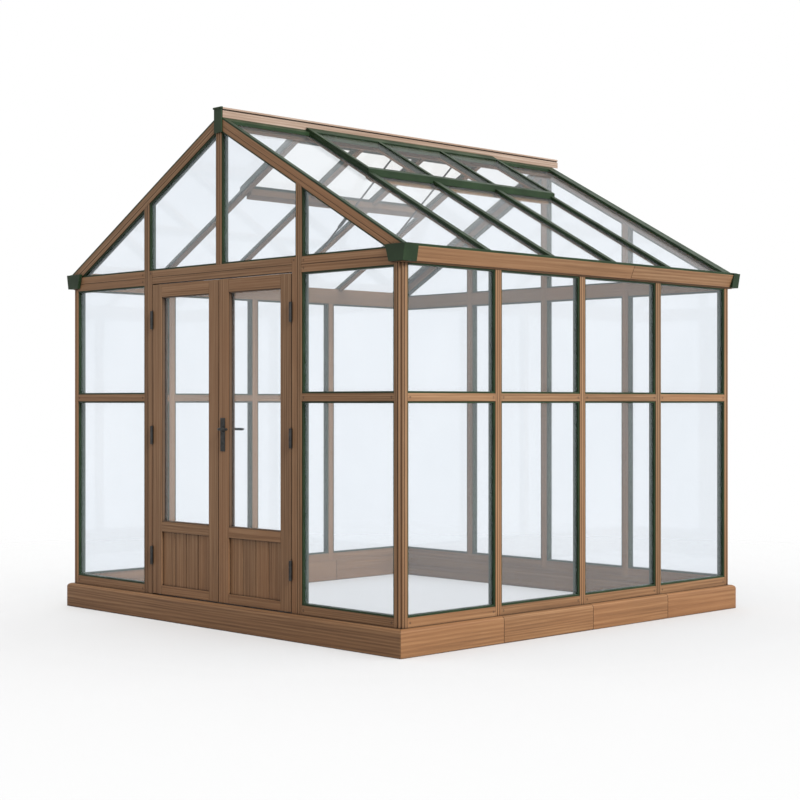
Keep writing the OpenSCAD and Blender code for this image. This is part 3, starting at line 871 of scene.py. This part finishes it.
@dataclass
class Plinth:
    """The low kerb of boards that the walls stand on."""

    ease: float = 0.0022
    saw: float = 0.0024
    side_joints: tuple[float, ...] = (0.264, 0.520, 0.759)

    def boards(self, name: str, node: str, axis: int, joints: Sequence[float]) -> None:
        """The boards of two opposite sides.

        Args:
            name: the piece's name.
            node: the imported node.
            axis: the axis that the boards run along.
            joints: where the butt joints are, as shares of the length.
        """
        box = Extent.of_node(node)
        places = [box.low[axis] + share * box.size[axis] for share in joints]
        piece = Workpiece.copy_of(name, node)
        if places:
            piece.cut(axis, places, self.saw)
        piece.ease(self.ease, 2)
        piece.fit(Body.HOUSE, CEDAR, node)

    def build(self) -> None:
        """Builds the end boards and the side boards."""
        self.boards("kerb_end_boards", "plinth_ends", 0, ())
        self.boards("kerb_side_boards", "plinth_sides", 1, self.side_joints)


@dataclass
class WallFrame:
    """Posts and rails of the four walls, with the screws that hold the rails."""

    ease: float = 0.0016
    post_ease: float = 0.0026

    def build(self) -> None:
        """Builds the posts, then the rails and their screws."""
        posts = ("corner_posts", "wall_posts", "door_posts", "door_liners", "king_posts", "back_posts", "door_head")
        for node in posts:
            ease = self.post_ease if node.endswith("_posts") else self.ease
            Workpiece.copy_of(f"cedar_{node}", node).ease(ease).fit(Body.HOUSE, CEDAR, node)
        screws = ScrewSet("rail_screws", Body.HOUSE)
        for node, faces in (
            ("front_rails", (Face.FRONT,)),
            ("back_rails", (Face.BACK,)),
            ("side_rails", (Face.LEFT, Face.RIGHT)),
        ):
            piece = Workpiece.copy_of(f"cedar_{node}", node)
            for rail in piece.extents():
                face = faces[0] if len(faces) == 1 or rail.middle.x < 0 else faces[1]
                screws.along_rail(rail, face)
            piece.ease(self.ease).fit(Body.HOUSE, CEDAR, node)
        self.post_screws(screws)
        screws.fit()

    def post_screws(self, screws: ScrewSet) -> None:
        """The screws near the top of the door liners.

        Args:
            screws: the set that they join.
        """
        liner = Extent.of_node("door_liners")
        head = Extent.of_node("door_head")
        for side in (-1.0, 1.0):
            x = side * (liner.high.x + head.high.x) / 2
            screws.drive(Vector((x, liner.low.y, head.low.z + 0.8 * head.size.z)), Face.FRONT.outward)


@dataclass
class Eaves:
    """The eaves beams with their green caps and top strips."""

    ease: float = 0.0022
    saw: float = 0.002
    joint: float = 0.64

    def build(self) -> None:
        """Builds the beams, the strips and the caps."""
        box = Extent.of_node("eaves_beams")
        beams = Workpiece.copy_of("cedar_eaves_beams", "eaves_beams")
        beams.cut(1, [box.low.y + self.joint * box.size.y], self.saw)
        beams.ease(self.ease).fit(Body.HOUSE, CEDAR, "eaves_beams")
        Workpiece.copy_of("green_eaves_strips", "eaves_strips").ease(0.0008).fit(Body.HOUSE, GREEN, "eaves_strips")
        Workpiece.copy_of("green_eaves_caps", "eaves_caps").ease(0.0018).fit(Body.HOUSE, GREEN, "eaves_caps")


@dataclass
class RoofTimber:
    """Gable rafters, inner rafters, trimmers, ridge board and ridge capping."""

    ease: float = 0.0018

    def build(self) -> None:
        """Builds each timber of the roof."""
        for node in ("gable_rafters", "roof_rafters", "vent_trimmers", "ridge_board"):
            Workpiece.copy_of(f"cedar_{node}", node).ease(self.ease).fit(Body.HOUSE, CEDAR, node)
        cap = Workpiece.copy_of("cedar_ridge_cap", "ridge_cap")
        # the ridge cap wears the lighter cedar, bleached and with a painted highlight
        cap.ease(self.ease).fit(Body.HOUSE, BLEACHED_AND_LIT_CEDAR, "ridge_cap")


@dataclass
class RoofTrim:
    """Green bars, flashing, ridge block and the raised vents with their opening rods."""

    ease: float = 0.0016

    def build(self) -> None:
        """Builds the green parts of the roof and the rods."""
        for node in ("ridge_flashing", "ridge_block", "glazing_bars", "vent_frames"):
            Workpiece.copy_of(f"green_{node}", node).ease(self.ease).fit(Body.HOUSE, GREEN, node)
        Workpiece.copy_of("iron_vent_stays", "vent_stays").ease(0.0012).fit(Body.HOUSE, IRON, "vent_stays")


@dataclass
class Glazing:
    """The panes and the green beads that hold them."""

    ease: float = 0.0012

    def build(self) -> None:
        """Builds the beads and dresses the panes."""
        for node in ("beads_front", "beads_back", "beads_sides"):
            Workpiece.copy_of(f"green_{node}", node).ease(self.ease).fit(Body.HOUSE, GREEN, node)
        for node in ("glass_front", "glass_back", "glass_sides", "glass_roof"):
            dress(node, PANE)
        dress("vent_glass", VENT_PANE)


# ---------- the doors ----------


@dataclass
class DoorLeaf:
    """One leaf: stiles and rails, boarded panel, glass with its bead, and hinges."""

    hand: Hand
    ease: float = 0.0018
    tongue: float = 0.010
    boards: int = 4
    board_gap: float = 0.0006

    @property
    def prefix(self) -> str:
        """The start of the leaf's node names."""
        return "door_left" if self.hand is Hand.LEFT else "door_right"

    @property
    def body(self) -> Body:
        """The body that the leaf rides on."""
        return Body.DOOR_LEFT if self.hand is Hand.LEFT else Body.DOOR_RIGHT

    def build(self) -> None:
        """Builds the leaf's pieces."""
        self.frame_boards()
        node = f"{self.prefix}_panel"
        box = Extent.of_node(node)
        panel = Workpiece.copy_of(f"cedar_{node}", node)
        places = [box.low.x + box.size.x * share for share in self.board_joints(box)]
        panel.cut(0, places, self.board_gap)
        panel.ease(0.0010).fit(self.body, CEDAR, node, upright=True)
        node = f"{self.prefix}_bead"
        # the door bead wears the darker cedar copy, with painted shade
        Workpiece.copy_of(f"green_{node}", node).ease(0.0010).fit(self.body, PAINTED_SHADE_BEAD_CEDAR, node)
        dress(f"{self.prefix}_glass", PANE)
        self.hinges()
        if self.hand is Hand.LEFT:
            Workpiece.copy_of("cedar_door_astragal", "door_astragal").ease(0.002).fit(self.body, CEDAR, "door_astragal")

    def board_joints(self, box: Extent) -> tuple[float, ...]:
        """Where the panel's boards meet, as shares of its width.

        Args:
            box: the panel's box.

        Returns:
            The shares.
        """
        hidden = self.tongue / box.size.x
        pitch = (1.0 - 2.0 * hidden) / self.boards
        return tuple(hidden + i * pitch for i in range(1, self.boards))

    def frame_boards(self) -> None:
        """Two stiles of full height with three rails between them."""
        node = f"{self.prefix}_frame"
        whole = Extent.of_node(node)
        glass = Extent.of_node(f"{self.prefix}_bead")
        panel = Extent.of_node(f"{self.prefix}_panel")
        y0, y1 = whole.low.y, whole.high.y
        left, right = glass.low.x, glass.high.x
        piece = Workpiece(f"cedar_{node}")
        for x0, x1 in ((whole.low.x, left), (right, whole.high.x)):
            piece.block((x0, y0, whole.low.z), (x1, y1, whole.high.z), self.ease)
        heights = (
            (whole.low.z, panel.low.z + self.tongue),
            (panel.high.z - self.tongue, glass.low.z),
            (glass.high.z, whole.high.z),
        )
        for z0, z1 in heights:
            piece.block((left, y0, z0), (right, y1, z1), self.ease)
        piece.fit(self.body, CEDAR, node)

    def hinges(self) -> None:
        """The leaf's half of each hinge."""
        node = f"{self.prefix}_hinges"
        Workpiece.copy_of(f"iron_{node}", node).ease(0.0006).fit(self.body, IRON, node)


@dataclass
class JambHinges:
    """The post's half of each hinge."""

    ease: float = 0.0006

    def build(self) -> None:
        """Builds the plates and knuckles on the posts."""
        Workpiece.copy_of("iron_jamb_hinges", "jamb_hinges").ease(self.ease).fit(Body.HOUSE, IRON, "jamb_hinges")


@dataclass
class DoorFurniture:
    """The lock plates with their keyholes, and the lever on both faces."""

    plate_ease: float = 0.0016
    key_drop: float = 0.078
    keyhole: float = 0.0052
    plate_screw: float = 0.0034
    rose: float = 0.0165
    neck: float = 0.0078
    grip: float = 0.0078
    bend: float = 0.014

    def build(self) -> None:
        """Builds the plates, then the levers."""
        self.plates()
        self.levers()

    def plates(self) -> None:
        """Two long plates with rounded edges, a keyhole of painted shade (a black disc and slot laid on the plate) and
        two screws each.
        """
        box = Extent.of_node("handle_plates")
        stile = Extent.of_node("door_right_frame")
        lever = Extent.of_node("lever_handle")
        axis_z = lever.middle.z
        mid_x = box.middle.x
        piece = Workpiece("iron_lock_plates")
        screws = ScrewSet("lock_plate_screws", Body.DOOR_RIGHT, self.plate_screw)
        # the keyholes are black discs and slots laid on the plates: painted shade where the holes would be
        dark = Workpiece("lock_keyholes")
        for y0, y1, out in ((box.low.y, stile.low.y, -1.0), (stile.high.y, box.high.y, 1.0)):
            piece.block((box.low.x, y0, box.low.z), (box.high.x, y1, box.high.z), self.plate_ease, 3)
            face = y0 if out < 0 else y1
            outward = Vector((0.0, out, 0.0))
            centre = Vector((mid_x, face, axis_z - self.key_drop))
            piece.rod(centre, centre + outward * 0.0022, 0.0105, 0.0092, 24)
            dark.rod(centre + outward * 0.0018, centre + outward * 0.0026, self.keyhole, self.keyhole * 0.9, 20)
            foot = centre + outward * 0.0018
            dark.block(
                (foot.x - 0.002, min(foot.y, foot.y + out * 0.0008), foot.z - 0.0088),
                (foot.x + 0.002, max(foot.y, foot.y + out * 0.0008), foot.z - 0.002),
            )
            for z in (box.low.z + 0.014, box.high.z - 0.012):
                screws.drive(Vector((mid_x, face, z)), outward)
        piece.fit(Body.DOOR_RIGHT, IRON, "handle_plates")
        dark.fit(Body.DOOR_RIGHT, KEYHOLE_SHADE)
        screws.fit()

    def levers(self) -> None:
        """A rose, a neck and a straight grip on each face of the lock stile."""
        box = Extent.of_node("lever_handle")
        plates = Extent.of_node("handle_plates")
        x = plates.middle.x
        z = box.middle.z
        piece = Workpiece("iron_levers")
        for start, tip, out in ((plates.low.y, box.low.y, -1.0), (plates.high.y, box.high.y, 1.0)):
            root = Vector((x, start + out * 0.0004, z))
            piece.rod(root, root + Vector((0.0, out * 0.007, 0.0)), self.rose, self.rose - 0.002, 32)
            self.arm(piece, root, tip, box.high.x, out)
        piece.fit(Body.LEVER, IRON, "lever_handle")

    def arm(self, piece: Workpiece, root: Vector, tip: float, end_x: float, out: float) -> None:
        """One lever: a neck that turns through a right angle into a tapering grip.

        Args:
            piece: the workpiece that it joins.
            root: the middle of its rose.
            tip: the level of its outer face along Y.
            end_x: where the grip ends.
            out: -1 for the outside lever, 1 for the inside one.
        """
        bm = piece.bm
        axis_y = tip - out * self.grip
        turn = Matrix.Rotation(math.radians(-90.0 * out), 4, "X")
        made = bmesh.ops.create_circle(
            bm, cap_ends=False, segments=20, radius=self.neck, matrix=Matrix.Translation(root) @ turn
        )["verts"]
        edges = list({e for v in made for e in v.link_edges})
        reach = abs(axis_y - root.y) - self.bend
        edges = self.pull(bm, edges, Vector((0.0, out * reach, 0.0)), 1.0)
        ring = list({v for e in edges for v in e.verts})
        pivot = Vector((root.x + self.bend, root.y + out * reach, root.z))
        spun = bmesh.ops.spin(
            bm,
            geom=[*ring, *edges],
            cent=pivot,
            axis=(0.0, 0.0, 1.0),
            dvec=(0.0, 0.0, 0.0),
            angle=-math.radians(90.0 * out),
            steps=8,
            use_merge=False,
            use_duplicate=False,
        )["geom_last"]
        edges = [g for g in spun if isinstance(g, bmesh.types.BMEdge)]
        length = end_x - pivot.x
        for share, scale in ((0.5, 0.97), (0.35, 0.95), (0.12, 0.88), (0.03, 0.55)):
            edges = self.pull(bm, edges, Vector((length * share, 0.0, 0.0)), scale)
        ring = list({v for e in edges for v in e.verts})
        bmesh.ops.contextual_create(bm, geom=edges)
        for face in {f for v in ring for f in v.link_faces}:
            face.smooth = True

    def pull(self, bm: bmesh.types.BMesh, edges: list, step: Vector, scale: float) -> list:
        """Draws an open ring of edges on by a step.

        Args:
            bm: the mesh.
            edges: the ring.
            step: how far it moves.
            scale: how much the new ring shrinks.

        Returns:
            The new ring.
        """
        made = bmesh.ops.extrude_edge_only(bm, edges=edges)["geom"]
        verts = [g for g in made if isinstance(g, bmesh.types.BMVert)]
        bmesh.ops.translate(bm, vec=step, verts=verts)
        centre = sum((v.co for v in verts), Vector()) / len(verts)
        bmesh.ops.scale(bm, vec=(scale, scale, scale), verts=verts, space=Matrix.Translation(-centre))
        for face in {f for v in verts for f in v.link_faces}:
            face.smooth = True
        return [g for g in made if isinstance(g, bmesh.types.BMEdge)]


# ---------- the studio ----------


@dataclass
class Studio:
    """A plain pale floor, soft light from the right, and the camera."""

    sky: float = 1.0
    key: float = 7.0
    key_soft: float = 22.0
    key_turn: float = 84.0
    key_rise: float = 36.0
    lens: float = 73.843
    stand: tuple[float, float, float] = (7.4374, -7.2528, 1.300)
    aim: tuple[float, float, float] = (90.05, 0.0, 45.706)

    def build(self) -> None:
        """Sets the floor, the lights and the camera."""
        self.floor()
        self.light()
        self.camera()

    def floor(self) -> None:
        """A wide matt floor at the ground."""
        mesh = bpy.data.meshes.new("studio_floor")
        bm = bmesh.new()
        bmesh.ops.create_grid(bm, x_segments=1, y_segments=1, size=60.0)
        bmesh.ops.translate(bm, vec=(0.0, 0.0, -0.0005), verts=bm.verts)
        bm.to_mesh(mesh)
        bm.free()
        mesh.materials.append(FLOOR.material())
        floor = bpy.data.objects.new("studio_floor", mesh)
        bpy.context.scene.collection.objects.link(floor)
        floor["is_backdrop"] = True

    def light(self) -> None:
        """An even white sky and a large soft key light that the floor doesn't take."""
        scene = bpy.context.scene
        world = bpy.data.worlds.new("white_room")
        world.use_nodes = True
        back = world.node_tree.nodes["Background"]
        back.inputs["Color"].default_value = (1.0, 1.0, 1.0, 1.0)
        back.inputs["Strength"].default_value = self.sky
        scene.world = world
        lamp = bpy.data.lights.new("key_light", "SUN")
        lamp.energy = self.key
        lamp.angle = math.radians(self.key_soft)
        lamp.color = (0.94, 1.0, 1.06)
        key = bpy.data.objects.new("key_light", lamp)
        key.rotation_euler = (math.radians(90.0 - self.key_rise), 0.0, math.radians(self.key_turn))
        scene.collection.objects.link(key)
        lit = bpy.data.collections.new("lit_by_key")
        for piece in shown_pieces():
            if not any("glass" in slot.material.name for slot in piece.material_slots if slot.material):
                lit.objects.link(piece)
        key.light_linking.receiver_collection = lit
        scene.view_settings.view_transform = "Standard"
        scene.cycles.transparent_max_bounces = 40
        scene.cycles.max_bounces = 10

    def camera(self) -> None:
        """A level camera at standing height, off the front right corner."""
        lens = bpy.data.cameras.new("view")
        lens.lens = self.lens
        lens.sensor_width = 36.0
        lens.dof.use_dof = False
        lens.clip_end = 200.0
        camera = bpy.data.objects.new("view", lens)
        camera.location = self.stand
        camera.rotation_euler = tuple(math.radians(a) for a in self.aim)
        bpy.context.scene.collection.objects.link(camera)
        bpy.context.scene.camera = camera


def main() -> None:
    """Builds the house from the ground up, then the doors and the studio."""
    logging.basicConfig(level=logging.INFO, format="%(name)s: %(message)s")
    assemblies = (
        Plinth(),
        WallFrame(),
        Eaves(),
        RoofTimber(),
        RoofTrim(),
        Glazing(),
        DoorLeaf(Hand.LEFT),
        DoorLeaf(Hand.RIGHT),
        JambHinges(),
        DoorFurniture(),
        Studio(),
    )
    for assembly in assemblies:
        LOG.info("building %s", type(assembly).__name__)
        assembly.build()


if __name__ == "__main__":
    main()
